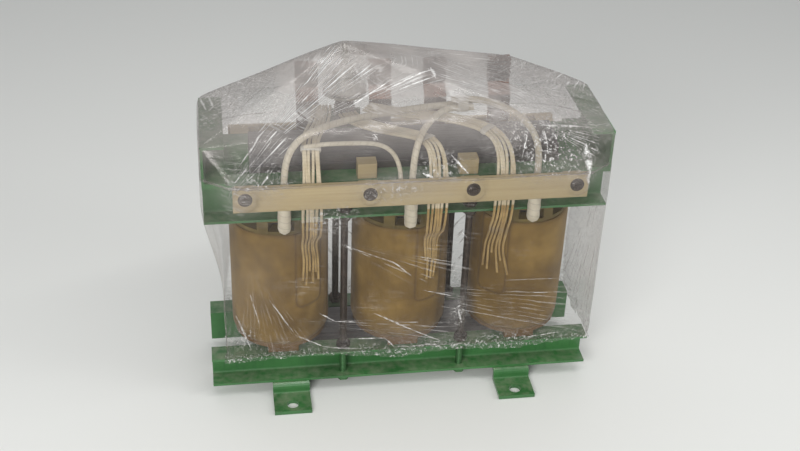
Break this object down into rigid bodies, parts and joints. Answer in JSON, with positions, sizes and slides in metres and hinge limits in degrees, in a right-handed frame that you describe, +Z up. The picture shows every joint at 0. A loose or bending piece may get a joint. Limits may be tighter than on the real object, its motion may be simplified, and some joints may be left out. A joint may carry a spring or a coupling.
{
  "type": "three-phase transformer core and coil assembly",
  "caption": "Three-limb laminated core with paper-wrapped coils, green channel clamps on feet, lead strips, tied leads and a tap changer, wrapped in clear film.",
  "frame": {"origin": "on the floor under the feet, midway along and across the core", "axes": "+X along the row of coils, +Z up, -Y out of the high-voltage side with the lead strip"},
  "size_m": [0.7694, 0.332, 0.6719],
  "materials": {
    "core_steel": "stacked silicon steel sheets, grey, satin",
    "kraft_paper": "brown insulating paper, matte",
    "pressboard": "dense pressboard, matte",
    "green_paint": "green gloss paint",
    "rod_steel": "dark plain steel",
    "beech_wood": "planed pale hardwood, unvarnished",
    "crepe_paper": "wound crepe paper, matte",
    "cotton_tape": "woven white tape",
    "wire_paper": "paper-covered wire, matte",
    "cast_aluminium": "bright cast metal",
    "copper": "bare copper, browned",
    "clear_film": "clear stretch film, glossy and wrinkled"
  },
  "bodies": {
    "root": {"lower_yoke": "core_steel", "upper_yoke": "core_steel", "core_limb_left": "core_steel", "core_limb_centre": "core_steel", "core_limb_right": "core_steel", "coil_left": "kraft_paper", "coil_centre": "kraft_paper", "coil_right": "kraft_paper", "lower_end_ring_left": "pressboard", "lower_end_ring_centre": "pressboard", "lower_end_ring_right": "pressboard", "upper_end_ring_left": "pressboard", "upper_end_ring_centre": "pressboard", "upper_end_ring_right": "pressboard", "lower_clamp_front": "green_paint", "lower_clamp_rear": "green_paint", "upper_clamp_front": "green_paint", "upper_clamp_rear": "green_paint", "end_member_left": "green_paint", "end_member_right": "green_paint", "foot_front_left": "green_paint", "foot_front_right": "green_paint", "foot_rear_left": "green_paint", "foot_rear_right": "green_paint", "tap_changer_bracket": "green_paint", "tie_rod_front_left": "rod_steel", "tie_rod_front_right": "rod_steel", "tie_rod_rear_left": "rod_steel", "tie_rod_rear_right": "rod_steel", "lead_strip_front": "beech_wood", "lead_strip_rear": "beech_wood", "strip_post_front_inner_left": "beech_wood", "strip_post_front_inner_right": "beech_wood", "strip_post_front_outer_left": "beech_wood", "strip_post_front_outer_right": "beech_wood", "strip_post_rear_outer_left": "beech_wood", "strip_post_rear_outer_right": "beech_wood", "lead_block_left": "beech_wood", "lead_block_right": "beech_wood", "hv_lead_left": "crepe_paper", "hv_lead_centre": "crepe_paper", "hv_lead_right": "crepe_paper", "lead_tape": "cotton_tape", "tap_leads_left": "wire_paper", "tap_leads_centre": "wire_paper", "tap_leads_right": "wire_paper", "tap_changer": "cast_aluminium", "lv_bar_a": "copper", "lv_bar_b": "copper", "lv_bar_c": "copper", "lv_bar_n": "copper", "film_wrap": "clear_film"}
  },
  "joints": []
}
